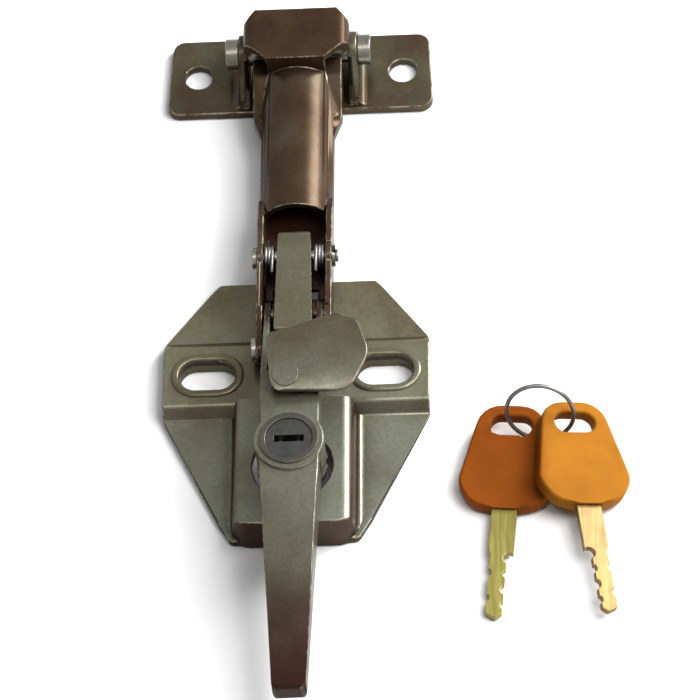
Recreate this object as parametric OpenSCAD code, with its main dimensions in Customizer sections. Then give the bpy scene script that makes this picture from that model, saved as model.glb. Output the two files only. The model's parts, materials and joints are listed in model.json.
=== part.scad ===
// Draw latch for an engine cover, with a keyed lever, a hook arm and a striker bracket.
// Frame: +X across the latch, +Y from the lever towards the striker, +Z away from the panel.
// The origin lies on the mounting face, midway between the two slots of the base plate.

/* [Base plate] */
// Sheet thickness of the pressed base plate
base_t = 2.5; // [2:0.1:3]
// Width of the base plate
base_w = 84; // [82:1:92]
// Length of the plate above the slots
base_top = 37; // [36:1:42]
// Width of the plate's top edge
base_top_w = 50; // [44:1:60]
// Half height of the straight sides
base_side = 14; // [12:1:16]
// Rise of the slotted band above the plate
band_rise = 3.5; // [3:0.1:4]
// Width of the flat top of the slotted band
band_w = 22; // [20:0.5:24]
// Distance between the slot centres
slot_spacing = 56; // [54:1:58]
// Overall length of a slot
slot_l = 18; // [15:0.5:19]
// Width of a slot
slot_w = 11; // [9:0.5:12]

/* [Raised channel] */
// Height of the channel's top face
bulge_h = 14.5; // [13.5:0.1:15]
// Width of the channel's top
bulge_w = 37; // [36:0.5:40]
// Spread of each sloping side wall
bulge_flare = 3.5; // [2:0.1:5]
// Length from the slots to the closed end
bulge_end = 61; // [60:1:66]
// Radius of the hole round the lock barrel
bulge_hole_r = 12.6; // [12:0.1:13]

/* [Pivots] */
// Place of the lever pivot along Y
lever_pivot_y = 17; // [16:0.5:18]
// Height of the lever pivot
lever_pivot_z = 13; // [12.5:0.1:13.5]
// Distance from the lever pivot back to the arm pivot
throw_y = 12; // [11:0.5:12.5]
// Drop of the arm pivot that takes the latch over centre
over_centre = 1; // [0.5:0.1:1.5]
// Radius of the lever and arm pivot pins
pin_r = 2.5; // [2:0.1:2.8]
// Radial running clearance of the pivots
run_gap = 0.06; // [0.03:0.01:0.1]
// Side gap between neighbouring cheeks
side_gap = 0.5; // [0.4:0.05:0.7]

/* [Lever handle] */
// Sheet thickness of the lever
lever_t = 2; // [1.6:0.1:2.2]
// Width of the lever over its cheeks
lever_w = 18.4; // [18:0.1:19]
// Width of the lever at its tip
tip_w = 10.4; // [9:0.2:13]
// Height of the lever's flat top face
lever_top = 28.5; // [28:0.1:30]
// Reach of the tip below the slots
tip_y = 122; // [110:1:135]
// Height of the tip's top face
tip_top = 18; // [16:0.5:22]
// Distance from the slots to the lock axis
lock_y = 40; // [39:0.5:41]

/* [Key lock] */
// Outer radius of the round boss that holds the lock
boss_r = 10.8; // [10.4:0.1:11.2]
// Outer radius of the lock barrel
barrel_r = 8.5; // [8.2:0.1:8.8]
// Radius of the turning plug
plug_r = 7.2; // [7:0.1:7.4]
// Reach of the locking cam from the lock axis
cam_reach = 15.2; // [14.6:0.1:15.6]

/* [Dust cover] */
// Length of the cover along X
cover_l = 32.5; // [31:0.5:34]
// Width of the cover along Y
cover_w = 28.4; // [27:0.2:29]
// Angle of the open cover's crown from the X axis
cover_angle = 10; // [5:1:15]
// Radius of the cover's crown
crown_r = 42; // [36:1:60]
// Sheet thickness of the cover
cover_t = 1.4; // [1:0.1:1.6]

/* [Hook arm] */
// Sheet thickness of the arm
arm_t = 2; // [1.6:0.1:2.2]
// Height of the arm's round back
arm_top = 22; // [21.8:0.1:23]
// Place of the open rim of the round back
rim_y = 54; // [52:1:58]
// Place of the safety catch pin along Y
catch_y = 37.5; // [36:0.5:39]
// Height of the safety catch pin
catch_z = 16; // [15.5:0.1:16.5]
// Width of the safety catch
catch_w = 12; // [11:0.2:12.4]
// Width of the T-shaped hook head
head_w = 34.6; // [33:0.2:38]
// Height of the head's top above the round back
head_rise = 5; // [4.5:0.1:6]

/* [Striker] */
// Width of the striker bracket over its ears
striker_w = 87; // [85:1:96]
// Length of the striker bracket along Y
striker_l = 30; // [28:0.5:32]
// Thickness of the striker bracket
striker_t = 3; // [2.5:0.1:3.2]
// Distance between the screw holes
striker_holes = 67; // [64:1:70]
// Radius of the screw holes
striker_hole_r = 4.5; // [3.5:0.1:5]
// Place of the striker pin along Y
striker_y = 121.5; // [119:0.5:124]
// Height of the striker pin
striker_z = 13; // [12.5:0.1:13.5]
// Radius of the striker pin
striker_r = 4; // [3.5:0.1:4.2]
// Clear width between the uprights
striker_gap = 32.6; // [32:0.2:35]

/* [Keys] */
// Width of a key head
key_head_w = 30.5; // [28:0.5:32]
// Length of a key head
key_head_l = 37; // [34:0.5:40]
// Thickness of a key head
key_head_t = 5; // [4.5:0.1:5.5]
// Width of a key blade
key_blade_w = 8; // [7:0.1:8.6]
// Length of blade that stands out of the head
key_blade_l = 38; // [34:1:42]

/* [Hidden] */
$fn = 64;
steel = "#6d6251";
dark_steel = "#4f463b";
bright_steel = "#9a9488";
orange = "#d9812c";
brass = "#b9a562";
cut = 1;

// Places that follow from the driving sizes
arm_pivot_y = lever_pivot_y - throw_y;
arm_pivot_z = lever_pivot_z - over_centre;
cheek_out = lever_w / 2;
cheek_in = cheek_out - lever_t;
bracket_t = 2;
bracket_out = cheek_in - side_gap;
bracket_in = bracket_out - bracket_t;
arm_in = cheek_out + side_gap + 0.2;
arm_out = arm_in + arm_t;
arm_axis_z = arm_top - arm_out;
flange_low = 8.6;
flange_high = 19;
eye_r = pin_r + 2.1;
band_slope = 3.5;
band_top = base_t + band_rise;
band_half = band_w / 2;
bend_shift = base_t * 0.42;
bulge_half = bulge_w / 2;
bulge_foot = bulge_half + bulge_flare;
bulge_root = bulge_half + 0.9;
bulge_bend = 4;
foot_bend = 2.4;
bend_out = 2.8;
bend_in = 1.4;
bulge_start = 14.5;
backing_w = band_w - 3;
backing_l = slot_l + 6;
bracket_foot_l = 17;
bracket_foot_y = lever_pivot_y - 2;
rivet_r = 2;
rivet_head_r = 3.4;
rivet_head_t = 1.4;
rivet_y = [bracket_foot_y + 5.5, bracket_foot_y + 13];
deck_end = 14;
boss_top = lever_top + 0.9;
skirt_low = bulge_h + 1.3;
knee_y = 54;
tip_skirt = 6.5;
barrel_top = boss_top + 0.6;
barrel_low = bulge_h - base_t - 1.6;
nut_r = barrel_r + 2.6;
nut_low = skirt_low - 2.2;
plug_top = barrel_top - 0.4;
plug_low = barrel_low - 0.3;
plug_gap = 0.06;
keyway_w = 2.4;
keyway_l = 9.2;
keyway_depth = plug_top - plug_low - 4;
wafer_t = 1;
wafer_pitch = 2.3;
wafer_count = 5;
wafer_w = 6.4;
wafer_l = 11.6;
wafer_gap = 0.08;
wafer_top = plug_top - 3.4;
tail_w = 6;
cam_t = 2;
cam_w = 7.6;
cam_low = plug_low - cam_t;
cam_notch_w = cam_w + 2.4;
cam_notch_reach = cam_reach + 2.2;
screw_r = 1.6;
screw_head_r = 3.4;
screw_head_t = 1.8;
cover_pivot = [-1, -19];
cover_centre = [9, -10];
cover_low = barrel_top + 0.5;
cover_sag = crown_r - sqrt(crown_r * crown_r - cover_w * cover_w / 4);
crown_axis_z = cover_low + cover_t + cover_sag - crown_r;
cover_rivet_r = 2;
collar_r = 3.4;
cover_head_r = 4;
washer_t = 0.6;
catch_pin_r = 2;
catch_out = catch_w / 2;
catch_t = 1.8;
catch_top = 21;
catch_low_y = 6.6;
catch_high_y = 45;
catch_eye_r = catch_pin_r + 2.3;
wire_r = 0.55;
leg_r = wire_r * 0.9;
spring_r = catch_pin_r + 1.3;
spring_pitch = 1.05;
spring_turns = 3;
spring_leg_back = spring_r * 2.7;
spring_leg_front = spring_r * 2.4;
clip_t = 0.9;
clip_groove = 0.5;
pin_head_t = 1.6;
pin_tail = 2;
head_half = head_w / 2;
head_t = 2.5;
head_top = arm_top + head_rise;
head_low = head_top - head_t;
hook_gap = 0.7;
lip_t = 2.4;
lip_in_y = striker_y + striker_r + hook_gap;
lip_out_y = lip_in_y + lip_t;
lip_low = striker_z - 2.5;
neck_half = striker_gap / 2 - 1.9;
neck_t = 2.2;
neck_start = 88;
neck_full = 95;
head_start = striker_y - 8.8;
head_skirt = 6.4;
fold_y = head_start - 4;
roof_low = 13;
roof_high = 17.5;
floor_start = catch_y + 2.5;
floor_end = rim_y + 16;
upright_out = striker_gap / 2 + striker_t;
striker_mid = striker_y - 1.5;
upright_r = striker_r + 2.1;
pin_end_r = striker_r + 1;
pin_end_t = 4.4;
collar_gap = 0.02;
key_hole_l = 13;
key_hole_w = 7;
key_hole_edge = 7.6;
key_shank_l = 14;
key_bit_w = 5.2;
key_blade_t = 2.2;
key_root = 12;
key_a = [66.5, -33.8, 0.55];
key_b = [87.5, -35.4, 0];
key_turn_a = -5;
key_turn_b = 8.5;
key_tilt_a = 2.7;
key_tilt_b = 18.5;
ring_r = 10.5;
ring_wire_r = 0.7;
ring_lean = 72;
ring_turn = -6;
ring_back = 5.1;
ring_x = (key_a[0] + key_b[0]) / 2 - 0.3;
ring_y = (key_a[1] + key_b[1]) / 2 + key_head_l / 2 - ring_back;
ring_place = [ring_x, ring_y, ring_r * sin(ring_lean) + ring_wire_r];

// Helpers for outlines, profiles and rods
function unit(v) = v / norm(v);
function turn(a) = a > 180 ? a - 360 : a < -180 ? a + 360 : a;

// Points of one corner, rounded to its radius with short chords
function corner(before, here, after, r, steps) =
  let (
    a = unit(before - here),
    b = unit(after - here),
    half = acos(a * b) / 2,
    mid = here + unit(a + b) * r / sin(half),
    start = here + a * r / tan(half) - mid,
    stop = here + b * r / tan(half) - mid,
    from = atan2(start[1], start[0]),
    sweep = turn(atan2(stop[1], stop[0]) - from)
  )
  [for (i = [0:steps]) mid + r * [cos(from + sweep * i / steps), sin(from + sweep * i / steps)]];

// Outline with a radius for each corner, given as [x, y, radius]
function rounded(pts, steps = 5) =
  let (n = len(pts))
  [for (i = [0:n - 1])
    let (
      p = pts[i],
      before = pts[(i + n - 1) % n],
      after = pts[(i + 1) % n],
      here = [p[0], p[1]]
    )
    for (q = p[2] == 0 ? [here]
      : corner([before[0], before[1]], here, [after[0], after[1]], p[2], steps)) q];

// Outline that is the same on both sides of the Y axis, from its right half
function mirrored(pts) = concat(pts, [for (i = [len(pts) - 1:-1:0]) [-pts[i][0], pts[i][1], pts[i][2]]]);

module along_x(x0, x1) {
  translate([x0, 0, 0]) rotate([90, 0, 90]) linear_extrude(x1 - x0) children();
}

module along_y(y0, y1) {
  translate([0, y1, 0]) rotate([90, 0, 0]) linear_extrude(y1 - y0) children();
}

module rod_x(x0, x1, r, y, z) {
  translate([x0, y, z]) rotate([0, 90, 0]) cylinder(r = r, h = x1 - x0);
}

module both_sides() {
  children();
  mirror([1, 0, 0]) children();
}

module slots(z0, z1) {
  both_sides() translate([slot_spacing / 2, 0, z0]) {
    for (s = [-1, 1]) translate([s * (slot_l - slot_w) / 2, 0, 0]) cylinder(d = slot_w, h = z1 - z0);
    translate([-(slot_l - slot_w) / 2, -slot_w / 2, 0]) cube([slot_l - slot_w, slot_w, z1 - z0]);
  }
}

// Base plate and what is fixed to it

module base_outline() {
  polygon(rounded(mirrored([
    [base_top_w / 2, base_top, 2],
    [base_w / 2, base_side, 5],
    [base_w / 2, -base_side, 6],
    [bulge_foot + 2, -bulge_end + 8, 4],
    [bulge_foot - 2, -bulge_end + 1, 2]
  ])));
}

// Section of the sheet along Y: flat, with the band pressed up across the slots
module band_section() {
  slope = band_half + band_slope;
  polygon(rounded([
    [-bulge_end - cut, base_t, 0],
    [-slope, base_t, bend_in],
    [-band_half, band_top, bend_out],
    [band_half, band_top, bend_out],
    [slope, base_t, bend_in],
    [base_top + cut, base_t, 0],
    [base_top + cut, 0, 0],
    [slope - bend_shift, 0, bend_out],
    [band_half - bend_shift, band_rise, bend_in],
    [bend_shift - band_half, band_rise, bend_in],
    [bend_shift - slope, 0, bend_out],
    [-bulge_end - cut, 0, 0]
  ]));
}

module bulge_body(inset) {
  intersection() {
    along_y(-bulge_end + inset, -bulge_start) polygon(rounded(mirrored(inset > 0
      ? [[bulge_root - inset, -cut, 0], [bulge_half - inset, bulge_h - inset, bulge_bend - inset]]
      : [
        [bulge_foot, 0, 0],
        [bulge_foot, base_t - 0.01, 0],
        [bulge_root, base_t - 0.01, foot_bend],
        [bulge_half, bulge_h, bulge_bend]
      ])));
    translate([0, 0, -2 * cut]) linear_extrude(bulge_h + 3 * cut) polygon(rounded(mirrored([
      [bulge_foot + cut, 0, 0],
      [bulge_foot + cut, -bulge_end + inset + 14, 0],
      [bulge_half - inset, -bulge_end + inset, 7 - inset]
    ])));
  }
}

module base_plate() {
  color(steel) difference() {
    union() {
      intersection() {
        along_x(-base_w, base_w) band_section();
        translate([0, 0, -cut]) linear_extrude(band_top + 2 * cut) base_outline();
      }
      bulge_body(0);
    }
    bulge_body(base_t);
    translate([0, -lock_y, bulge_h - base_t - cut]) cylinder(r = bulge_hole_r, h = base_t + 2 * cut);
    translate([-cam_notch_w / 2, -lock_y - cam_notch_reach, bulge_h - base_t - cut])
      cube([cam_notch_w, cam_notch_reach, base_t + 2 * cut]);
    slots(-cut, band_top + cut);
    for (y = rivet_y) translate([0, y, -cut]) cylinder(r = rivet_r, h = base_t + 2 * cut);
  }
}

// Flat bars behind the slots, so that the bolts clamp solid metal
module slot_backings() {
  color(dark_steel) difference() {
    both_sides() translate([slot_spacing / 2 - backing_l / 2, -backing_w / 2, 0])
      cube([backing_l, backing_w, band_rise]);
    slots(-cut, band_rise + cut);
  }
}

// Channel-shaped bracket that carries the lever pivot
module pivot_bracket() {
  foot_end = bracket_foot_y + bracket_foot_l;
  foot_top = base_t + bracket_t;
  color(dark_steel) difference() {
    union() {
      translate([-bracket_out, bracket_foot_y, base_t]) cube([2 * bracket_out, bracket_foot_l, bracket_t]);
      both_sides() {
        along_x(bracket_in, bracket_out) polygon([
          [bracket_foot_y, base_t], [foot_end, base_t], [foot_end, foot_top],
          [lever_pivot_y + eye_r - 0.1, lever_pivot_z], [lever_pivot_y - eye_r + 0.1, lever_pivot_z],
          [bracket_foot_y, foot_top + 1]
        ]);
        rod_x(bracket_in, bracket_out, eye_r, lever_pivot_y, lever_pivot_z);
      }
    }
    rod_x(-bracket_out - cut, bracket_out + cut, pin_r, lever_pivot_y, lever_pivot_z);
    for (y = rivet_y) translate([0, y, 0]) cylinder(r = rivet_r, h = foot_top + cut);
  }
}

module bracket_rivets() {
  color(bright_steel) for (y = rivet_y) translate([0, y, 0]) {
    cylinder(r = rivet_r, h = base_t + bracket_t);
    translate([0, 0, base_t + bracket_t]) cylinder(r1 = rivet_head_r, r2 = rivet_r, h = rivet_head_t);
  }
}

module lever_pivot_pin() {
  pin_end = cheek_out + 0.3;
  color(bright_steel) rod_x(-pin_end, pin_end, pin_r, lever_pivot_y, lever_pivot_z);
}

// Lever handle with its key lock

// Side view of the lever; inset draws the hollow under its deck
module lever_side(inset) {
  polygon(rounded([
    [-deck_end + (inset > 0 ? cut : 0), lever_top - inset, 0],
    [-knee_y, lever_top - inset, 30],
    [-tip_y + inset, tip_top - inset, 1.5],
    [-tip_y + inset, tip_top - tip_skirt - (inset > 0 ? cut : 0), 0.5],
    [-knee_y - 8, skirt_low - (inset > 0 ? cut : 0), 20],
    [-deck_end + (inset > 0 ? cut : 0), skirt_low - (inset > 0 ? cut : 0), 0]
  ], 6));
}

module lever_plan(inset) {
  polygon(rounded(mirrored([
    [cheek_out - inset, lever_pivot_y + 20, 0],
    [cheek_out - inset, -lock_y - 8, 20],
    [tip_w / 2 - inset, -tip_y + inset, 2]
  ])));
}

module lever_cheek() {
  polygon([
    [-deck_end - 10, lever_top], [-deck_end, lever_top],
    [lever_pivot_y + eye_r * 0.5, lever_pivot_z + eye_r * 0.87],
    [lever_pivot_y, lever_pivot_z - eye_r], [arm_pivot_y, arm_pivot_z - eye_r],
    [arm_pivot_y - eye_r * 0.8, arm_pivot_z - eye_r * 0.6],
    [-deck_end + 2, skirt_low], [-deck_end - 10, skirt_low]
  ]);
}

module lever_handle() {
  color(steel) difference() {
    union() {
      difference() {
        intersection() {
          along_x(-lever_w, lever_w) lever_side(0);
          linear_extrude(lever_top + cut) lever_plan(0);
        }
        intersection() {
          along_x(-lever_w, lever_w) lever_side(lever_t);
          linear_extrude(lever_top + cut) lever_plan(lever_t);
        }
      }
      both_sides() along_x(cheek_in, cheek_out) lever_cheek();
      both_sides() rod_x(cheek_in, cheek_out, eye_r, lever_pivot_y, lever_pivot_z);
      both_sides() rod_x(cheek_in, cheek_out, eye_r, arm_pivot_y, arm_pivot_z);
      translate([0, -lock_y, skirt_low]) cylinder(r = boss_r, h = boss_top - skirt_low);
    }
    translate([0, -lock_y, 0]) cylinder(r = barrel_r, h = boss_top + cut);
    rod_x(-lever_w, lever_w, pin_r + run_gap, lever_pivot_y, lever_pivot_z);
    rod_x(-lever_w, lever_w, pin_r + run_gap, arm_pivot_y, arm_pivot_z);
    translate([cover_pivot[0], cover_pivot[1], 0]) cylinder(r = cover_rivet_r + run_gap, h = lever_top + cut);
  }
}

// Fixed barrel of the lock, with a thin rim on top of the boss
module lock_barrel() {
  rim_r = barrel_r + 0.7;
  color(bright_steel) translate([0, -lock_y, 0]) difference() {
    union() {
      translate([0, 0, barrel_low]) cylinder(r = barrel_r, h = barrel_top - barrel_low);
      translate([0, 0, boss_top]) cylinder(r = rim_r, h = barrel_top - boss_top);
    }
    cylinder(r = plug_r + plug_gap, h = barrel_top + cut);
  }
}

// Ring nut that holds the barrel in the boss from below
module barrel_nut() {
  color(bright_steel) translate([0, -lock_y, nut_low]) difference() {
    cylinder(r = nut_r, h = skirt_low - nut_low);
    translate([0, 0, -cut]) cylinder(r = barrel_r, h = skirt_low);
    for (a = [0:90:270]) rotate([0, 0, a]) translate([nut_r - 1, -1.2, -cut]) cube([2, 2.4, skirt_low]);
  }
}

module lock_plug() {
  color(dark_steel) translate([0, -lock_y, 0]) difference() {
    union() {
      translate([0, 0, plug_low]) cylinder(r = plug_r, h = plug_top - plug_low);
      translate([-tail_w / 2, -tail_w / 2, cam_low]) cube([tail_w, tail_w, cam_t + cut]);
    }
    translate([-keyway_l / 2, -keyway_w / 2, plug_top - keyway_depth])
      cube([keyway_l, keyway_w, keyway_depth + cut]);
    for (i = [0:wafer_count - 1]) translate([0, 0, wafer_top - i * wafer_pitch - wafer_t / 2])
      cube([wafer_w + 2 * wafer_gap, wafer_l + 2 * wafer_gap, wafer_t + 2 * wafer_gap], center = true);
    translate([0, 0, cam_low - cut]) cylinder(r = screw_r, h = 5);
  }
}

// Sliding wafers that the key lines up
module plug_wafers() {
  color(brass) translate([0, -lock_y, 0]) for (i = [0:wafer_count - 1])
    translate([0, 0, wafer_top - i * wafer_pitch - wafer_t / 2]) difference() {
      cube([wafer_w, wafer_l, wafer_t], center = true);
      cube([wafer_w - 2, keyway_w + 3.4, wafer_t + cut], center = true);
    }
}

module lock_cam() {
  color(bright_steel) translate([0, -lock_y, cam_low]) difference() {
    union() {
      cylinder(r = plug_r - 0.4, h = cam_t);
      translate([-cam_w / 2, -cam_reach + cam_w / 2, 0]) cube([cam_w, cam_reach - cam_w / 2, cam_t]);
      translate([0, -cam_reach + cam_w / 2, 0]) cylinder(d = cam_w, h = cam_t);
    }
    translate([-tail_w / 2, -tail_w / 2, -cut]) cube([tail_w, tail_w, cam_t + 2 * cut]);
  }
}

module cam_screw() {
  color(bright_steel) translate([0, -lock_y, cam_low]) {
    translate([0, 0, -screw_head_t]) cylinder(r1 = screw_head_r - 0.8, r2 = screw_head_r, h = screw_head_t);
    cylinder(r = screw_r, h = 4);
  }
}

// Dust cover that swings over the key plug, drawn swung open

module crown(r) {
  translate([cover_centre[0], cover_centre[1], crown_axis_z]) rotate([0, 0, cover_angle])
    rotate([0, 90, 0]) cylinder(r = r, h = 2 * cover_l, center = true, $fn = 128);
}

module cover_plan() {
  translate([cover_centre[0], cover_centre[1], cover_low]) linear_extrude(crown_r) polygon(rounded([
    [-cover_l * 0.508, cover_w * 0.23, 3],
    [-cover_l * 0.446, -cover_w * 0.495, 3.5],
    [cover_l * 0.308, -cover_w * 0.495, 8],
    [cover_l * 0.492, -cover_w * 0.07, 8],
    [cover_l * 0.37, cover_w * 0.39, 6],
    [cover_l * 0.138, cover_w * 0.505, 4]
  ]));
}

module dust_cover() {
  color(steel) difference() {
    intersection() {
      crown(crown_r);
      cover_plan();
    }
    crown(crown_r - cover_t);
    translate([cover_pivot[0], cover_pivot[1], 0]) cylinder(r = cover_rivet_r, h = 2 * lever_top);
  }
}

// Collar under the cover that keeps it above the rim of the lock
module cover_collar() {
  color(dark_steel) difference() {
    intersection() {
      translate([cover_pivot[0], cover_pivot[1], lever_top + 0.05]) cylinder(r = collar_r, h = 2 * cover_low);
      crown(crown_r - cover_t);
    }
    translate([cover_pivot[0], cover_pivot[1], 0]) cylinder(r = cover_rivet_r, h = 2 * lever_top);
  }
}

module cover_rivet() {
  head_z = cover_low + cover_t + cover_sag + 0.9;
  deck_low = lever_top - lever_t;
  color(bright_steel) translate([cover_pivot[0], cover_pivot[1], 0]) {
    translate([0, 0, deck_low - washer_t - 1.2]) cylinder(r = cover_rivet_r, h = head_z - deck_low + washer_t);
    translate([0, 0, deck_low - washer_t - 1.3]) cylinder(r = cover_rivet_r + 1, h = 1.2);
    difference() {
      translate([0, 0, cover_low]) cylinder(r = cover_head_r, h = head_z - cover_low);
      translate([-cover_pivot[0], -cover_pivot[1], 0]) crown(crown_r);
    }
  }
}

module cover_washer() {
  color(bright_steel) translate([cover_pivot[0], cover_pivot[1], lever_top - lever_t - washer_t - 0.05])
    difference() {
      cylinder(r = cover_rivet_r + 1.6, h = washer_t);
      translate([0, 0, -cut]) cylinder(r = cover_rivet_r + run_gap, h = washer_t + 2 * cut);
    }
}

// Hook arm

module arm_flange() {
  polygon(rounded([
    [arm_pivot_y, arm_pivot_z - eye_r, 0],
    [rim_y + 6, flange_low, 0],
    [rim_y + 6, flange_high - 3, 0],
    [rim_y - 2, flange_high, 4],
    [arm_pivot_y + 12, flange_high, 6],
    [arm_pivot_y, arm_pivot_z + eye_r, 0]
  ]));
}

module round_back(r, y0, y1) {
  translate([0, y0, arm_axis_z]) rotate([-90, 0, 0]) cylinder(r = r, h = y1 - y0);
}

module neck_plan(inset, y_end) {
  polygon(mirrored([
    [arm_out - inset, neck_start, 0],
    [neck_half - inset, neck_full, 0],
    [neck_half - inset, y_end, 0]
  ]) * [[1, 0], [0, 1], [0, 0]]);
}

// Flared cheeks beside the striker pin, with a roof that rises towards the head
module neck_box(inset) {
  roof = roof_high - inset;
  intersection() {
    linear_extrude(head_top) neck_plan(inset, head_start + 3 + inset);
    along_x(-neck_half, neck_half) polygon(rounded([
      [neck_start - cut, flange_low - inset, 0],
      [head_start + 3 + inset, flange_low - inset, 0],
      [head_start + 3 + inset, roof, 0],
      [fold_y, roof, 4],
      [neck_full, roof_low - inset, 6],
      [neck_start - cut, roof_low - inset, 0]
    ]));
  }
}

// T-shaped head with cropped corners at its free end
module head_plan() {
  polygon(rounded(mirrored([
    [neck_half - 5, fold_y, 0],
    [head_half, head_start + 3.5, 1.5],
    [head_half, lip_out_y - 4, 1],
    [head_half - 3, lip_out_y - 1, 1],
    [head_half - 4, lip_out_y, 0]
  ])));
}

// Section of the head across the arm: a shallow channel with wide bends
module head_section(inset) {
  half = head_half - inset;
  polygon(rounded(mirrored([
    [half, head_top - head_skirt - inset, 0],
    [half, head_top - inset, 4.5 - inset]
  ])));
}

module head_channel() {
  intersection() {
    translate([0, 0, head_top - head_skirt - cut]) linear_extrude(head_skirt + 2 * cut) head_plan();
    along_y(fold_y - cut, lip_out_y + cut) difference() {
      head_section(0);
      head_section(head_t);
    }
  }
}

module hook_arm() {
  wall_half = neck_half - 5;
  color(steel) difference() {
    union() {
      both_sides() along_x(arm_in, arm_out) arm_flange();
      both_sides() rod_x(arm_in, arm_out, eye_r, arm_pivot_y, arm_pivot_z);
      both_sides() rod_x(arm_in, arm_out, catch_eye_r + 0.4, catch_y, catch_z);
      translate([-arm_out, floor_start, flange_low]) cube([2 * arm_out, floor_end - floor_start, arm_t]);
      difference() {
        union() {
          intersection() {
            round_back(arm_out, rim_y, fold_y + head_t);
            translate([-arm_out, rim_y, arm_axis_z]) cube([2 * arm_out, fold_y + head_t - rim_y, arm_out + cut]);
          }
          translate([-arm_out, rim_y, flange_low])
            cube([2 * arm_out, neck_full - rim_y, arm_axis_z - flange_low + 0.01]);
          neck_box(0);
        }
        round_back(arm_in, rim_y - cut, fold_y + head_t + cut);
        translate([-arm_in, rim_y - cut, 0]) cube([2 * arm_in, neck_full - rim_y, arm_axis_z]);
        neck_box(neck_t);
      }
      along_x(-wall_half, wall_half) polygon(rounded([
        [fold_y, arm_axis_z + arm_in - 1, 0],
        [fold_y + head_t, arm_axis_z + arm_in - 1, 0],
        [fold_y + head_t, head_top, 0],
        [fold_y, head_top, 2]
      ]));
      head_channel();
      along_x(-neck_half + 0.4, neck_half - 0.4) polygon(rounded([
        [lip_in_y, lip_low, 0.8],
        [lip_out_y, lip_low, 0.8],
        [lip_out_y, head_top, 2],
        [lip_in_y, head_top, 0]
      ]));
    }
    rod_x(-arm_out - cut, arm_out + cut, pin_r, arm_pivot_y, arm_pivot_z);
    rod_x(-arm_out - cut, arm_out + cut, catch_pin_r, catch_y, catch_z);
  }
}

// Headed pin with a groove for a retaining clip at its other end
module headed_pin(r, y, z) {
  groove_x = arm_out + 0.1;
  color(bright_steel) difference() {
    union() {
      rod_x(-arm_out, arm_out + pin_tail, r, y, z);
      rod_x(-arm_out - pin_head_t, -arm_out, r + 1.4, y, z);
    }
    difference() {
      rod_x(groove_x, groove_x + clip_t + 0.1, r + cut, y, z);
      rod_x(groove_x - cut, groove_x + clip_t + cut, r - clip_groove, y, z);
    }
  }
}

// Open retaining ring that snaps into the groove
module open_clip(r, y, z) {
  clip_x = arm_out + 0.15;
  color(bright_steel) difference() {
    rod_x(clip_x, clip_x + clip_t, r + 1.5, y, z);
    rod_x(clip_x - cut, clip_x + clip_t + cut, r - clip_groove, y, z);
    translate([clip_x - cut, y - (r - clip_groove) * 0.8, z]) cube([clip_t + 2 * cut, (r - clip_groove) * 1.6, r + 2]);
  }
}

module arm_pivot_pin() { headed_pin(pin_r, arm_pivot_y, arm_pivot_z); }
module arm_pin_clip() { open_clip(pin_r, arm_pivot_y, arm_pivot_z); }
module catch_pin() { headed_pin(catch_pin_r, catch_y, catch_z); }
module catch_pin_clip() { open_clip(catch_pin_r, catch_y, catch_z); }

// Safety catch: a channel-shaped finger lever on its own pin in the arm
module catch_side() {
  polygon(rounded([
    [catch_low_y, catch_top - catch_t - 0.4, 0.4],
    [catch_low_y, catch_top, 1],
    [catch_high_y, catch_top - 0.5, 2],
    [catch_high_y, catch_top - 4, 0.5],
    [catch_y, catch_z - catch_eye_r, 3],
    [catch_y - 9, catch_top - catch_t - 0.4, 4]
  ]));
}

module safety_catch() {
  wall_x = catch_out - catch_t;
  color(bright_steel) difference() {
    intersection() {
      along_x(-catch_out, catch_out) catch_side();
      linear_extrude(catch_top + cut) polygon(rounded(mirrored([
        [catch_out, catch_low_y, 1],
        [catch_out - 0.9, catch_high_y, 2]
      ])));
    }
    translate([-wall_x, catch_low_y - cut, 0])
      cube([2 * wall_x, catch_high_y - catch_low_y + 2 * cut, catch_top - catch_t]);
    rod_x(-catch_out - cut, catch_out + cut, catch_pin_r + run_gap, catch_y, catch_z);
  }
}

// Torsion spring: a close-wound coil each side of the catch, with a leg up and a leg back
module catch_spring() {
  coil_x = catch_out + wire_r + 0.35;
  color(bright_steel) both_sides() {
    translate([coil_x, catch_y, catch_z]) rotate([0, 90, 0]) rotate_extrude()
      for (i = [0:spring_turns - 1]) translate([spring_r, i * spring_pitch]) circle(r = wire_r, $fn = 16);
    translate([coil_x + (spring_turns - 1) * spring_pitch, catch_y, catch_z - spring_r])
      rotate([-90, 0, 0]) cylinder(r = leg_r, h = spring_leg_back, $fn = 16);
    translate([coil_x, catch_y, catch_z + spring_r])
      rotate([90, 0, 0]) cylinder(r = leg_r, h = spring_leg_front, $fn = 16);
  }
}

// Striker bracket with its pin

module striker_ear_plan() {
  polygon(rounded(mirrored([
    [striker_w / 2 - 1.5, striker_mid + striker_l / 2, 4],
    [striker_w / 2, striker_mid - striker_l / 2, 4]
  ])));
}

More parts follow.
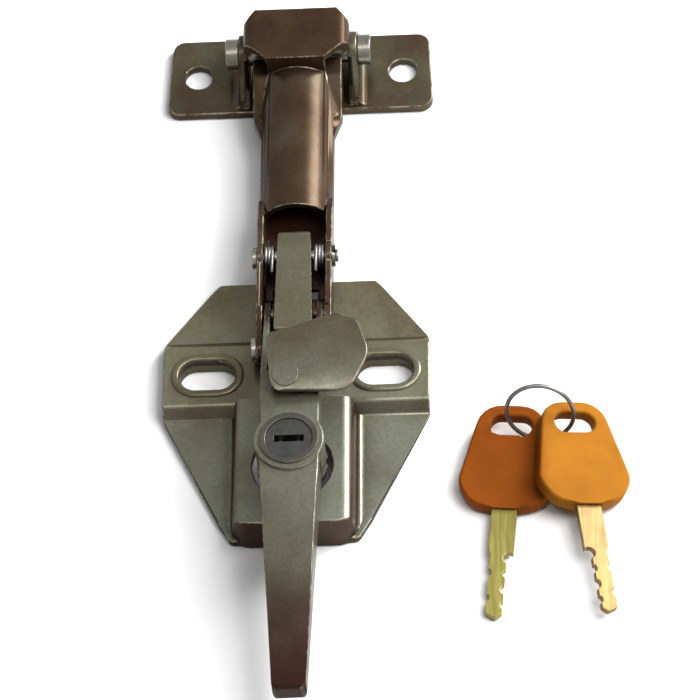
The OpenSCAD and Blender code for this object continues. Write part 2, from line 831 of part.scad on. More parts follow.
module striker_bracket() {
  foot = striker_l / 2 - 1.5;
  color(steel) difference() {
    union() {
      linear_extrude(striker_t) striker_ear_plan();
      both_sides() {
        along_x(striker_gap / 2, upright_out) polygon([
          [striker_mid - foot, 0], [striker_mid + foot, 0], [striker_mid + foot, striker_t + 2],
          [striker_y + upright_r * 0.87, striker_z + upright_r * 0.5],
          [striker_y - upright_r * 0.87, striker_z + upright_r * 0.5],
          [striker_mid - foot, striker_t + 2]
        ]);
        rod_x(striker_gap / 2, upright_out, upright_r, striker_y, striker_z);
        along_y(striker_mid - foot, striker_mid + foot) polygon(rounded([
          [upright_out - 0.01, striker_t - 0.01, 3],
          [upright_out - 0.01, striker_t + 3.2, 0],
          [upright_out - 1, striker_t + 3.2, 0],
          [upright_out - 1, striker_t - 1, 0],
          [upright_out + 3.2, striker_t - 1, 0],
          [upright_out + 3.2, striker_t - 0.01, 0]
        ]));
      }
    }
    both_sides() translate([striker_holes / 2, striker_mid, -cut])
      cylinder(r = striker_hole_r, h = striker_t + 2 * cut);
    rod_x(-upright_out - cut, upright_out + cut, striker_r, striker_y, striker_z);
  }
}

module striker_pin() {
  color(bright_steel) {
    rod_x(-upright_out - pin_end_t, upright_out, striker_r, striker_y, striker_z);
    rod_x(upright_out, upright_out + pin_end_t, pin_end_r, striker_y, striker_z);
  }
}

module striker_collar() {
  color(bright_steel) difference() {
    rod_x(-upright_out - pin_end_t, -upright_out, pin_end_r, striker_y, striker_z);
    rod_x(-upright_out - pin_end_t - cut, -upright_out + cut, striker_r + collar_gap, striker_y, striker_z);
  }
}

// Keys: plastic heads moulded over flat blades, on a wire ring

module place_key_a() {
  lift = key_head_l / 2 * sin(key_tilt_a);
  translate([key_a[0], key_a[1], key_a[2] + lift]) rotate([key_tilt_a, 0, 0]) rotate([0, 0, key_turn_a]) children();
}

module place_key_b() {
  lift = key_head_w / 2 * sin(key_tilt_b);
  translate([key_b[0], key_b[1], lift]) rotate([0, key_tilt_b, 0]) rotate([0, 0, key_turn_b]) children();
}

module key_blade_solid() {
  pitch = 5.5;
  half = key_blade_w / 2;
  bit = key_bit_w / 2;
  shank = -key_head_l / 2 - key_shank_l;
  tip = -key_head_l / 2 - key_blade_l;
  translate([0, 0, (key_head_t - key_blade_t) / 2]) linear_extrude(key_blade_t) difference() {
    polygon(rounded([
      [half, -key_head_l / 2 + key_root, 0],
      [-half, -key_head_l / 2 + key_root, 0],
      [-half, shank, 0.6],
      [-bit - 0.6, shank - 2.4, 0.6],
      [-bit - 0.6, tip + 1.5, 1.2],
      [0, tip, 1.2],
      [bit - 0.6, tip + 1.5, 1.2],
      [bit - 0.6, shank - 4.8, 0.8],
      [half, shank - 1.8, 0.8]
    ]));
    for (i = [0:3]) translate([bit + 0.2, tip + 4.5 + i * pitch]) circle(r = 1.5 + 0.3 * (i % 2));
    for (i = [0:1]) translate([-bit - 1.4, tip + 7 + 1.6 * i * pitch]) circle(r = 1.6);
  }
}

module key_head_solid() {
  hole_y = key_head_l / 2 - key_hole_edge;
  difference() {
    linear_extrude(key_head_t) polygon(rounded(mirrored([
      [key_head_w * 0.31, key_head_l / 2, 8],
      [key_head_w / 2, -key_head_l * 0.26, 7],
      [key_head_w * 0.36, -key_head_l / 2 + 1.2, 8],
      [key_head_w * 0.1, -key_head_l / 2, 0]
    ])));
    key_blade_solid();
    for (s = [-1, 1]) translate([s * (key_hole_l - key_hole_w) / 2, hole_y, -cut])
      cylinder(d = key_hole_w, h = key_head_t + 2 * cut);
    translate([-(key_hole_l - key_hole_w) / 2, hole_y - key_hole_w / 2, -cut])
      cube([key_hole_l - key_hole_w, key_hole_w, key_head_t + 2 * cut]);
  }
}

module key_heads() {
  color(orange) {
    place_key_a() key_head_solid();
    place_key_b() mirror([1, 0, 0]) key_head_solid();
  }
}

module key_blades() {
  color(brass) {
    place_key_a() key_blade_solid();
    place_key_b() mirror([1, 0, 0]) key_blade_solid();
  }
}

module key_ring() {
  color(bright_steel) translate(ring_place) rotate([0, 0, ring_turn]) rotate([ring_lean, 0, 0])
    rotate_extrude() translate([ring_r, 0]) circle(r = ring_wire_r, $fn = 16);
}

base_plate();
slot_backings();
pivot_bracket();
bracket_rivets();
lever_pivot_pin();
lever_handle();
lock_barrel();
barrel_nut();
lock_plug();
plug_wafers();
lock_cam();
cam_screw();
dust_cover();
cover_collar();
cover_rivet();
cover_washer();
hook_arm();
arm_pivot_pin();
arm_pin_clip();
catch_pin();
catch_pin_clip();
safety_catch();
catch_spring();
striker_bracket();
striker_pin();
striker_collar();
key_heads();
key_blades();
key_ring();
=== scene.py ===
"""Looks of the engine cover draw latch: finishes, rolled edges, small pressed forms, studio and camera."""

import json
import math

import bmesh
import bpy
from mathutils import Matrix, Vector
from mathutils.bvhtree import BVHTree
from mathutils.kdtree import KDTree


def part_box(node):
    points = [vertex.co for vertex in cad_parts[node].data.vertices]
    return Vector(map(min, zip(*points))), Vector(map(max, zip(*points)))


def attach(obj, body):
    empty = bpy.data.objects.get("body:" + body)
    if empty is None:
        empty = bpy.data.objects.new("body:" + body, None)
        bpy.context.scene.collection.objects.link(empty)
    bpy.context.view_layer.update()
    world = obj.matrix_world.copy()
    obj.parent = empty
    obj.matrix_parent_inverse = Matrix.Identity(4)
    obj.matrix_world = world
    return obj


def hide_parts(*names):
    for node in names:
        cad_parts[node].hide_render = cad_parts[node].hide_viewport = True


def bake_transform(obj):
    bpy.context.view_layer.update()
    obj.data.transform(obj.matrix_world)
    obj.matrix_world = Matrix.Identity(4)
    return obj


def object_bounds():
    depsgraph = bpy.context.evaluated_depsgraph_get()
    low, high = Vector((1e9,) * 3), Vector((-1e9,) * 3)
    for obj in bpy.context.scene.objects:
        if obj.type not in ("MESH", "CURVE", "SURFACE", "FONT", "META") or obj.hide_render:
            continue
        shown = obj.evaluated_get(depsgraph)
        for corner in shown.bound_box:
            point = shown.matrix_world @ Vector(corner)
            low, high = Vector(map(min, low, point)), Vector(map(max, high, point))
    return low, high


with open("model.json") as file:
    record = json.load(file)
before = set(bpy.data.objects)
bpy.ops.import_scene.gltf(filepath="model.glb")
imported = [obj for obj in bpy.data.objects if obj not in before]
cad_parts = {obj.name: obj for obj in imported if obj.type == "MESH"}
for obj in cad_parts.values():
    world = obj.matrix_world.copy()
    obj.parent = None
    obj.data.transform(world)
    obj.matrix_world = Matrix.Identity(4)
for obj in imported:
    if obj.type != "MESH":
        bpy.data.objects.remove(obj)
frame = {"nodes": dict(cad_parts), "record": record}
cad_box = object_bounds()

MM = 0.001

# Camera, fitted to the photograph: angles in degrees, lengths in metres, pixels of the 700 x 700 frame
IMAGE_PX = 700
FOCAL_PX = 5335
SENSOR_MM = 36
CLIP_START = 0.05
VIEW_ELEVATION = 55.6
VIEW_AZIMUTH = 6.1
VIEW_ROLL = -7.0
VIEW_DISTANCE = 1.69
VIEW_TARGET = Vector((0.01655, 0.0120, 0.0))

# Lights: name, place and size in metres, power in watts; all of them aim at the origin
LIGHTS = (
    ("right_softbox", (0.70, 0.46, 0.46), (0.40, 0.50), 16),
    ("overhead_strip", (0.10, -0.12, 1.05), (0.90, 0.10), 4),
    ("top_softbox", (0.58, -0.10, 0.86), (0.7, 0.6), 12),
)
WHITE = (1, 1, 1, 1)
AMBIENT_STRENGTH = 0.12

# Stage floor: its grey, half its side, and its gap below the object, in metres
STAGE_GREY = (0.9, 0.9, 0.9, 1)
STAGE_HALF = 3.0
STAGE_GAP = 0.2 * MM
# Distances from the origin between which the stage floor goes over to plain white
STAGE_FADE = (0.25, 0.55)

# Widths of the rolled edges, by node
EDGE_ROUND = {
    "base_plate": 0.5 * MM,
    "lever_handle": 0.5 * MM,
    "hook_arm": 0.35 * MM,
    "striker_bracket": 0.5 * MM,
    "safety_catch": 0.3 * MM,
    "dust_cover": 0.4 * MM,
    "lock_barrel": 0.25 * MM,
    "lock_plug": 0.12 * MM,
    "cover_rivet": 0.12 * MM,
    "striker_pin": 0.45 * MM,
    "striker_collar": 0.45 * MM,
    "arm_pivot_pin": 0.24 * MM,
    "catch_pin": 0.24 * MM,
    "key_heads": 1.0 * MM,
    "key_blades": 0.35 * MM,
}
ROUND_SEGMENTS = 3
# How strongly large faces set the shading at a corner, from 1 to 100
LARGE_FACE_WEIGHT = 80
# Vertices closer than this are one, and faces that differ by less than this angle are one face
WELD_DISTANCE = 0.01 * MM
FLAT_ANGLE = math.radians(0.6)
# An edge is sharp above the first angle, and two edges run straight on from the second
SHARP_ANGLE = math.radians(28)
STRAIGHT_ANGLE = math.radians(140)
# Share of an edge that rolling may take up at one end, with a sharp edge at its other end or without
SHARED_ROOM = 0.45
OWN_ROOM = 0.9
# An edge is rolled only if both its corners have room for this share of its width
ROOM_NEEDED = 0.6
# A rolled edge is left out within FOLD_REACH widths of faces that fold back on each other
FOLD_ANGLE = math.radians(150)
FOLD_REACH = 1.3
FOLD_PASSES = 8

# Lips round the slots of the base plate, and the thickness of its sheet
BASE_SHEET = 2.5 * MM
RIM_WIDTH = 2.6 * MM
RIM_HEIGHT = 0.8 * MM
RIM_SINK = 1.0 * MM
RIM_INSET = 0.05 * MM
RIM_STEPS = 12

# Floor between the flanges of the arm, a dark sheet as painted shade: underside, thickness, half width, and
# where it ends along Y
ARM_FLOOR_LOW = 8.6 * MM
ARM_FLOOR_SHEET = 2.05 * MM
ARM_FLOOR_HALF = 9.75 * MM
ARM_FLOOR_FRONT = 24.5 * MM
ARM_FLOOR_BACK = 69.0 * MM
ARM_FLOOR_CORNER = 1.2 * MM
ARM_FLOOR_ROUND = 0.3 * MM
CORNER_STEPS = 6
# Notch in the front of that floor, which clears the pivot bracket
NOTCH_GAP = 0.4 * MM
NOTCH_BACK = 28.5 * MM

# How far the head of the cover rivet stands proud of the cover
RIVET_PROUD = 0.4 * MM

# Tints of the platings as linear colours: dark, middle and light clouds
OLIVE = ((0.072, 0.058, 0.034), (0.104, 0.095, 0.058), (0.120, 0.118, 0.080))
DARK_OLIVE = ((0.052, 0.032, 0.018), (0.062, 0.052, 0.031), (0.078, 0.076, 0.050))
BROWN = ((0.032, 0.017, 0.009), (0.045, 0.027, 0.014), (0.060, 0.046, 0.030))
BASE_UP = ((0.086, 0.070, 0.042), (0.122, 0.113, 0.070), (0.142, 0.142, 0.098))
BASE_LOW = ((0.110, 0.104, 0.074), (0.138, 0.142, 0.106), (0.160, 0.170, 0.134))
GREY = ((0.088, 0.084, 0.058), (0.110, 0.112, 0.082), (0.128, 0.134, 0.104))
KHAKI = ((0.080, 0.071, 0.043), (0.094, 0.089, 0.056), (0.110, 0.107, 0.072))
COVER_UP = ((0.060, 0.046, 0.027), (0.078, 0.066, 0.040), (0.092, 0.085, 0.055))
UMBER = ((0.022, 0.008, 0.005), (0.028, 0.012, 0.008), (0.040, 0.022, 0.014))
# Painted shade: the darker brown painted on the steep walls of the base plate
WALL_SHADE_BROWN = (0.042, 0.025, 0.017)
# Tint of the plating where it is seen at a shallow angle
EDGE_TINT = (0.34, 0.29, 0.23, 1)
# Colour of the steel where the plating is rubbed through
WORN_TINT = (0.23, 0.21, 0.165)

# Places on a ramp of the three tints, and ramps of painted shade in corners, rubbing, specks and mottling
CLOUD_STOPS = (0.32, 0.5, 0.68)
CORNER_SHADE_STOPS = [(0.30, (0.30, 0.27, 0.24)), (0.85, (1, 1, 1))]
RUBBED_STOPS = [(0.44, (0, 0, 0)), (0.62, (0.75, 0.75, 0.75))]
SPECK_STOPS = [(0.35, (0.80, 0.80, 0.80)), (0.65, (1.1, 1.08, 1.05))]
MOTTLE_STOPS = [(0.35, (0.86, 0.82, 0.8)), (0.65, (1.06, 1.06, 1.06))]
SPECK_SHARE = 0.6
# Depth of the shallow dents in the plating, with the rolling grain as 1
DENT_DEPTH = 4.0
# Heights of the unit normal between which a steep wall, painted darker as painted shade, goes over to a
# level face
WALL_SHADE_SLOPES = (0.50, 0.93)
# How far from a corner or inside a hollow the painted shade reaches, and how many rays look for it
CORNER_SHADE_REACH = 9 * MM
CORNER_SHADE_SAMPLES = 8
# Shade of the turning marks on bright steel
TURNED_SHADE = 0.72
# Lowest and highest roughness of the plating, the plastic and the brass
PLATED_ROUGHNESS = (0.22, 0.38)
PLASTIC_ROUGHNESS = (0.5, 0.66)
BRASS_ROUGHNESS = (0.36, 0.54)
# Where the left key goes over to the right one, along X; on the heads the right one is painted paler as
# painted light
KEY_FADE = (74.5 * MM, 80.0 * MM)


class Nodes:
    """Short calls to add and link the nodes of one material."""

    def __init__(self, name):
        self.material = bpy.data.materials.new(name)
        self.material.use_nodes = True
        self.tree = self.material.node_tree
        self.shader = self.tree.nodes["Principled BSDF"]
        coords = self.tree.nodes.new("ShaderNodeTexCoord")
        self.place = coords.outputs["Object"]
        self.facing = coords.outputs["Normal"]

    def set(self, **values):
        """Sets plain values on the shader's own sockets."""
        for key, value in values.items():
            self.shader.inputs[key.replace("_", " ")].default_value = value

    def add(self, kind, **settings):
        """A new node with its settings and the values of its sockets."""
        node = self.tree.nodes.new(kind)
        for key, value in settings.items():
            if hasattr(node, key):
                setattr(node, key, value)
            else:
                node.inputs[key.replace("_", " ")].default_value = value
        return node

    def link(self, source, target):
        self.tree.links.new(source, target)

    def shade(self, source, socket):
        """Links a source to one of the shader's sockets."""
        self.link(source, self.shader.inputs[socket])

    def noise(self, scale, detail=3.0, roughness=0.55, stretch=None):
        """Noise in object space, with its scale in features per metre."""
        node = self.add("ShaderNodeTexNoise", Scale=scale, Detail=detail, Roughness=roughness)
        place = self.place
        if stretch:
            mapping = self.add("ShaderNodeMapping", Scale=stretch)
            self.link(place, mapping.inputs["Vector"])
            place = mapping.outputs["Vector"]
        self.link(place, node.inputs["Vector"])
        return node.outputs["Fac"]

    def ramp(self, source, stops):
        """Colour ramp from a list of (position, colour)."""
        node = self.add("ShaderNodeValToRGB")
        elements = node.color_ramp.elements
        while len(elements) < len(stops):
            elements.new(0.5)
        for element, (position, colour) in zip(elements, stops):
            element.position = position
            element.color = (*colour, 1)
        self.link(source, node.inputs["Fac"])
        return node.outputs["Color"]

    def clouds(self, source, tints):
        """Colour ramp over the three tints of a plating."""
        return self.ramp(source, list(zip(CLOUD_STOPS, tints)))

    def span(self, source, low, high):
        """Maps 0..1 to low..high."""
        node = self.add("ShaderNodeMapRange", To_Min=low, To_Max=high)
        self.link(source, node.inputs["Value"])
        return node.outputs["Result"]

    def mix(self, factor, a, b, blend="MIX"):
        """Mixes two colours, each a socket or a plain colour."""
        node = self.add("ShaderNodeMix", data_type="RGBA", blend_type=blend)
        # The colour sockets of this node share their names with others, so they go by number
        for value, socket in ((factor, node.inputs[0]), (a, node.inputs[6]), (b, node.inputs[7])):
            if isinstance(value, (int, float)):
                socket.default_value = value
            elif isinstance(value, tuple):
                socket.default_value = (*value, 1)
            else:
                self.link(value, socket)
        return node.outputs[2]

    def total(self, first, second, weight):
        """first plus weight times second."""
        node = self.add("ShaderNodeMath", operation="MULTIPLY_ADD")
        self.link(second, node.inputs[0])
        node.inputs[1].default_value = weight
        self.link(first, node.inputs[2])
        return node.outputs[0]

    def between(self, source, low, high):
        """0 at low and 1 at high, with a smooth step from one to the other."""
        reach = self.add("ShaderNodeMapRange", interpolation_type="SMOOTHSTEP", From_Min=low, From_Max=high)
        self.link(source, reach.inputs["Value"])
        return reach.outputs["Result"]

    def along(self, axis, low, high):
        """0 to 1 between two places on an object axis."""
        split = self.add("ShaderNodeSeparateXYZ")
        self.link(self.place, split.inputs[0])
        return self.between(split.outputs[axis], low, high)

    def flatness(self, low, high):
        """0 where the surface is steep and 1 where it lies level, between two heights of its unit normal."""
        split = self.add("ShaderNodeSeparateXYZ")
        self.link(self.facing, split.inputs[0])
        size = self.add("ShaderNodeMath", operation="ABSOLUTE")
        self.link(split.outputs["Z"], size.inputs[0])
        return self.between(size.outputs[0], low, high)

    def openness(self, reach):
        """1 on open surfaces, less in corners and hollows of the same piece within reach, in metres."""
        node = self.add("ShaderNodeAmbientOcclusion", samples=CORNER_SHADE_SAMPLES, only_local=True, Distance=reach)
        return node.outputs["AO"]

    def bump(self, height, strength, distance):
        """Bump from a height, with its depth in metres."""
        node = self.add("ShaderNodeBump", Strength=strength, Distance=distance)
        self.link(height, node.inputs["Height"])
        self.shade(node.outputs["Normal"], "Normal")


def plated_steel(name, tints, fades=(), bends=None, worn=False):
    """Dull zinc plating with cloudy tints, specks, painted shade in its corners and fine rolling grain.
    fades are (axis, start, end, tints): the finish has those tints at start and its own from end on.
    The tint for steep walls is painted shade: the walls between level faces are painted a darker brown.
    worn is for the rolled edges, where the plating is rubbed through in places."""
    m = Nodes(name)
    m.set(Metallic=0.55, Specular_IOR_Level=0.14, Specular_Tint=EDGE_TINT)
    m.set(Coat_Weight=0.13, Coat_Roughness=0.2)
    cloud = m.noise(scale=45, detail=4)
    colour = m.clouds(cloud, tints)
    for axis, start, end, others in fades:
        colour = m.mix(m.along(axis, start, end), m.clouds(cloud, others), colour)
    # Painted shade: steep walls go over to a darker brown
    if bends:
        colour = m.mix(m.flatness(*WALL_SHADE_SLOPES), bends, colour)
    # Painted shade: corners and hollows of the piece are darkened by their occlusion
    colour = m.mix(1.0, colour, m.ramp(m.openness(CORNER_SHADE_REACH), CORNER_SHADE_STOPS), "MULTIPLY")
    if worn:
        rubbed = m.ramp(m.noise(scale=260, detail=5, roughness=0.7), RUBBED_STOPS)
        colour = m.mix(rubbed, colour, WORN_TINT)
    specks = m.ramp(m.noise(scale=900, detail=2), SPECK_STOPS)
    m.shade(m.mix(SPECK_SHARE, colour, specks, "MULTIPLY"), "Base Color")
    m.shade(m.span(m.noise(scale=120, detail=4), *PLATED_ROUGHNESS), "Roughness")
    grain = m.noise(scale=700, detail=3, stretch=(1, 0.25, 1))
    dents = m.noise(scale=75, detail=2)
    m.bump(m.total(grain, dents, DENT_DEPTH), strength=0.16, distance=0.2 * MM)
    return m.material


def bright_steel(name, colour, roughness=(0.22, 0.4)):
    """Plain zinc plating on pins, rivets and the lock barrel, with fine turning marks."""
    m = Nodes(name)
    m.set(Metallic=0.95)
    shade = tuple(channel * TURNED_SHADE for channel in colour)
    m.shade(m.ramp(m.noise(scale=220, detail=4), [(0.35, shade), (0.65, colour)]), "Base Color")
    m.shade(m.span(m.noise(scale=500), *roughness), "Roughness")
    m.bump(m.noise(scale=1500, detail=2), strength=0.08, distance=0.1 * MM)
    return m.material


def key_plastic(name, light, deep):
    """Moulded orange plastic: mottled, finely grained and nearly dull, with the right head painted paler as
    painted light.
    """
    m = Nodes(name)
    m.set(Specular_IOR_Level=0.05)
    mottle = m.ramp(m.noise(scale=70, detail=3), MOTTLE_STOPS)
    shade = m.mix(m.along("X", *KEY_FADE), deep, light)
    m.shade(m.mix(1.0, shade, mottle, "MULTIPLY"), "Base Color")
    m.shade(m.span(m.noise(scale=300), *PLASTIC_ROUGHNESS), "Roughness")
    m.bump(m.noise(scale=2200, detail=2), strength=0.1, distance=0.1 * MM)
    return m.material


def key_brass(name, light, deep, copper):
    """Brass-plated key blades with scratches along their length, one more copper-coloured than the other."""
    m = Nodes(name)
    m.set(Metallic=0.75)
    scratches = m.noise(scale=900, detail=3, stretch=(1, 0.06, 1))
    brass = m.ramp(scratches, [(0.3, deep), (0.62, light)])
    tinted = m.mix(m.along("X", *KEY_FADE), brass, m.mix(1.0, brass, copper, "MULTIPLY"))
    m.shade(tinted, "Base Color")
    m.shade(m.span(m.noise(scale=300), *BRASS_ROUGHNESS), "Roughness")
    m.bump(scratches, strength=0.1, distance=0.1 * MM)
    return m.material


cover_low, cover_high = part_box("dust_cover")
PLATINGS = {
    "olive": {"tints": OLIVE},
    "base": {"tints": BASE_UP, "fades": [("Y", -30 * MM, 4 * MM, BASE_LOW)], "bends": WALL_SHADE_BROWN},
    "striker": {"tints": DARK_OLIVE},
    "brown": {"tints": BROWN},
    "catch": {"tints": KHAKI},
    "cover": {"tints": COVER_UP, "fades": [("Y", cover_low.y, cover_high.y, GREY)]},
    # Painted shade: the lever's top end, between the arm's flanges, goes over to dark umber; its grip also
    # goes over to umber towards its tip
    "lever": {
        "tints": GREY,
        "fades": [("Y", -112 * MM, -52 * MM, UMBER), ("Y", 14 * MM, 4 * MM, UMBER)],
    },
    # Painted shade: dark umber for the pivot bracket, its rivets and the arm's floor between the arm's
    # flanges
    "painted_shade": {"tints": UMBER},
}
# The finish of each node; those that aren't named are bright steel
FINISH_OF = {
    "base_plate": "base",
    "slot_backings": "olive",
    # The pivot bracket and its rivets are painted dark as painted shade
    "pivot_bracket": "painted_shade",
    "bracket_rivets": "painted_shade",
    "lever_handle": "lever",
    "hook_arm": "brown",
    "striker_bracket": "striker",
    "striker_pin": "pin",
    "striker_collar": "pin",
    "dust_cover": "cover",
    "cover_rivet": "cover",
    "safety_catch": "catch",
    "catch_spring": "wire",
    "lock_barrel": "barrel",
    "lock_plug": "plug",
    "plug_wafers": "brass",
    "key_heads": "orange",
    "key_blades": "brass",
    "key_ring": "wire",
}
rolled_finishes = {FINISH_OF.get(node) for node in EDGE_ROUND}
worn_edges = {
    name: plated_steel(name + "_worn_edge", worn=True, **plating)
    for name, plating in PLATINGS.items()
    if name in rolled_finishes
}
finishes = {name: plated_steel(name + "_plating", **plating) for name, plating in PLATINGS.items()}
finishes |= {
    "bright": bright_steel("bright_plating", (0.24, 0.23, 0.20)),
    "pin": bright_steel("pin_plating", (0.19, 0.18, 0.15)),
    "barrel": bright_steel("barrel_steel", (0.085, 0.080, 0.066), (0.3, 0.45)),
    "plug": bright_steel("plug_steel", (0.062, 0.062, 0.060), (0.32, 0.5)),
    "wire": bright_steel("spring_wire", (0.20, 0.19, 0.18), (0.3, 0.45)),
    # Painted light: the right head's paler orange
    "orange": key_plastic("orange_plastic", light=(0.26, 0.097, 0.004), deep=(0.18, 0.044, 0.003)),
    "brass": key_brass(
        "blade_brass", light=(0.235, 0.205, 0.050), deep=(0.155, 0.130, 0.032), copper=(0.84, 0.60, 0.85)
    ),
}


def add_object(name, data):
    """A new object in the scene."""
    item = bpy.data.objects.new(name, data)
    bpy.context.collection.objects.link(item)
    return item


def place_like(piece, node):
    """Makes a piece move with a node's body."""
    body = next(name for name, nodes in frame["record"]["behaviour"]["bodies"].items() if node in nodes)
    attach(piece, body)


def set_finish(piece, finish):
    """Gives a piece its finish and, where it is plated, its rolled edges the worn one."""
    piece.data.materials.clear()
    piece.data.materials.append(finishes[finish])
    if finish in worn_edges and "rolled_edges" in piece.modifiers:
        piece.data.materials.append(worn_edges[finish])
        piece.modifiers["rolled_edges"].material = 1


# Rolled edges

def corner_room(vert, sharp):
    """How wide the sharp edges at a corner can be rolled before they run into its other edges."""
    room = math.inf
    for edge in vert.link_edges:
        end = edge.other_vert(vert)
        side = end.co - vert.co
        shared = any(other in sharp for other in end.link_edges)
        share = SHARED_ROOM if shared else OWN_ROOM
        for rolled in (other for other in vert.link_edges if other in sharp and other is not edge):
            angle = side.angle(rolled.other_vert(vert).co - vert.co)
            if angle < STRAIGHT_ANGLE:
                room = min(room, side.length * math.sin(angle) * share)
    return room


def weigh_edges(bm, width):
    """Marks the sharp edges of a mesh that can be rolled; those at tight corners stay as they are."""
    weights = bm.edges.layers.float.new("bevel_weight_edge")
    sharp = {edge for edge in bm.edges if edge.is_manifold and edge.calc_face_angle() > SHARP_ANGLE}
    for edge in sharp:
        room = min(corner_room(vert, sharp) for vert in edge.verts)
        edge[weights] = float(room > ROOM_NEEDED * width)


def folded_spots(piece):
    """Middles of the edges at which the finished faces of a piece fold back on each other."""
    bm = bmesh.new()
    bm.from_mesh(piece.evaluated_get(bpy.context.evaluated_depsgraph_get()).to_mesh())
    spots = [
        (edge.verts[0].co + edge.verts[1].co) / 2
        for edge in bm.edges
        if edge.is_manifold and edge.calc_face_angle() > FOLD_ANGLE
    ]
    bm.free()
    return spots


def clear_folds(piece, width):
    """Leaves rolled edges out where they make faces fold, until none is left."""
    for _ in range(FOLD_PASSES):
        bpy.context.view_layer.update()
        spots = folded_spots(piece)
        if not spots:
            return
        tree = KDTree(len(spots))
        for index, spot in enumerate(spots):
            tree.insert(spot, index)
        tree.balance()
        weights = piece.data.attributes["bevel_weight_edge"].data
        verts = piece.data.vertices
        for edge in piece.data.edges:
            gap = min(tree.find(verts[end].co)[2] for end in edge.vertices)
            if gap < FOLD_REACH * width:
                weights[edge.index].value = 0.0
        piece.data.update()


def welded_copy(node, name, rolled_width=None):
    """A smooth copy of a node's solid as one closed mesh, with the edges marked that are to be rolled."""
    mesh = frame["nodes"][node].data.copy()
    mesh.name = name
    bm = bmesh.new()
    bm.from_mesh(mesh)
    bmesh.ops.remove_doubles(bm, verts=bm.verts, dist=WELD_DISTANCE)
    if rolled_width:
        bmesh.ops.dissolve_limit(bm, angle_limit=FLAT_ANGLE, verts=bm.verts, edges=bm.edges)
        weigh_edges(bm, rolled_width)
    bm.to_mesh(mesh)
    bm.free()
    if "custom_normal" in mesh.attributes:
        mesh.attributes.remove(mesh.attributes["custom_normal"])
    mesh.shade_smooth()
    return add_object(name, mesh)


def seat_rivet_head(rivet):
    """Lays the flat head of the cover rivet close on the crown of the cover."""
    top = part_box("cover_rivet")[1].z
    cover = BVHTree.FromObject(frame["nodes"]["dust_cover"], bpy.context.evaluated_depsgraph_get())
    for vert in rivet.data.vertices:
        if vert.co.z > top - WELD_DISTANCE:
            vert.co.z = cover.find_nearest(vert.co)[0].z + RIVET_PROUD


def rounded_copy(node, width):
    """A copy of a node's solid with its sharp edges rolled to a small radius."""
    copy = welded_copy(node, node + "_rounded", width)
    if node == "cover_rivet":
        seat_rivet_head(copy)
    bevel = copy.modifiers.new("rolled_edges", "BEVEL")
    bevel.width = width
    bevel.segments = ROUND_SEGMENTS
    bevel.use_clamp_overlap = False
    bevel.limit_method = "WEIGHT"
    bevel.miter_outer = "MITER_ARC"
    even = copy.modifiers.new("even_shading", "WEIGHTED_NORMAL")
    even.mode = "FACE_AREA_WITH_ANGLE"
    even.weight = LARGE_FACE_WEIGHT
    clear_folds(copy, width)
    place_like(copy, node)
    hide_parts(node)
    return copy


# Pieces with forms of their own

def bending_spring():
    """The catch spring as one welded, fixed copy with the wire finish; its back legs lie on the arm and its
    front legs on the catch.
    """
    copy = welded_copy("catch_spring", "catch_spring_bending")
    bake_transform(copy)
    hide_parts("catch_spring")
    set_finish(copy, "wire")


def slot_rim_path(mount, side, offset):
    """Points round one slot of the base plate at a distance outside its edge, with round ends."""
    radius = mount["dims"]["hole_r_mm"] * MM
    straight = mount["dims"]["slot_length_mm"] * MM / 2 - radius
    centre = side * mount["dims"]["spacing_x_mm"] * MM / 2
    points = []
    for end, start in ((1, -90), (-1, 90)):
        for step in range(RIM_STEPS + 1):
            angle = math.radians(start + 180 * step / RIM_STEPS)
            x = centre + end * straight + (radius + offset) * math.cos(angle)
            points.append((x, (radius + offset) * math.sin(angle)))
    return points


def slot_rims():
    """A low rounded lip pressed up round each slot of the base plate."""
    mount = next(entry for entry in frame["record"]["mounts"] if entry["name"] == "base_slots")
    band_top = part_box("slot_backings")[1].z + BASE_SHEET
    half = RIM_WIDTH / 2
    section = [(0, -RIM_SINK)]
    for step in range(RIM_STEPS + 1):
        angle = math.pi * step / RIM_STEPS
        section.append((half - half * math.cos(angle), RIM_HEIGHT * math.sin(angle)))
    section.append((RIM_WIDTH, -RIM_SINK))
    verts, faces = [], []
    for side in (-1, 1):
        first = len(verts)
        for offset, height in section:
            path = slot_rim_path(mount, side, RIM_INSET + offset)
            verts += [(x, y, band_top + height) for x, y in path]
        for row in range(len(section)):
            here = first + row * len(path)
            above = first + (row + 1) % len(section) * len(path)
            for column in range(len(path)):
                beside = (column + 1) % len(path)
                faces.append((here + column, above + column, above + beside, here + beside))
    mesh = bpy.data.meshes.new("slot_rims")
    mesh.from_pydata(verts, [], faces)
    mesh.shade_smooth()
    bm = bmesh.new()
    bm.from_mesh(mesh)
    bmesh.ops.recalc_face_normals(bm, faces=bm.faces)
    bm.to_mesh(mesh)
    bm.free()
    rims = add_object("slot_rims", mesh)
    place_like(rims, "base_plate")
    set_finish(rims, "olive")


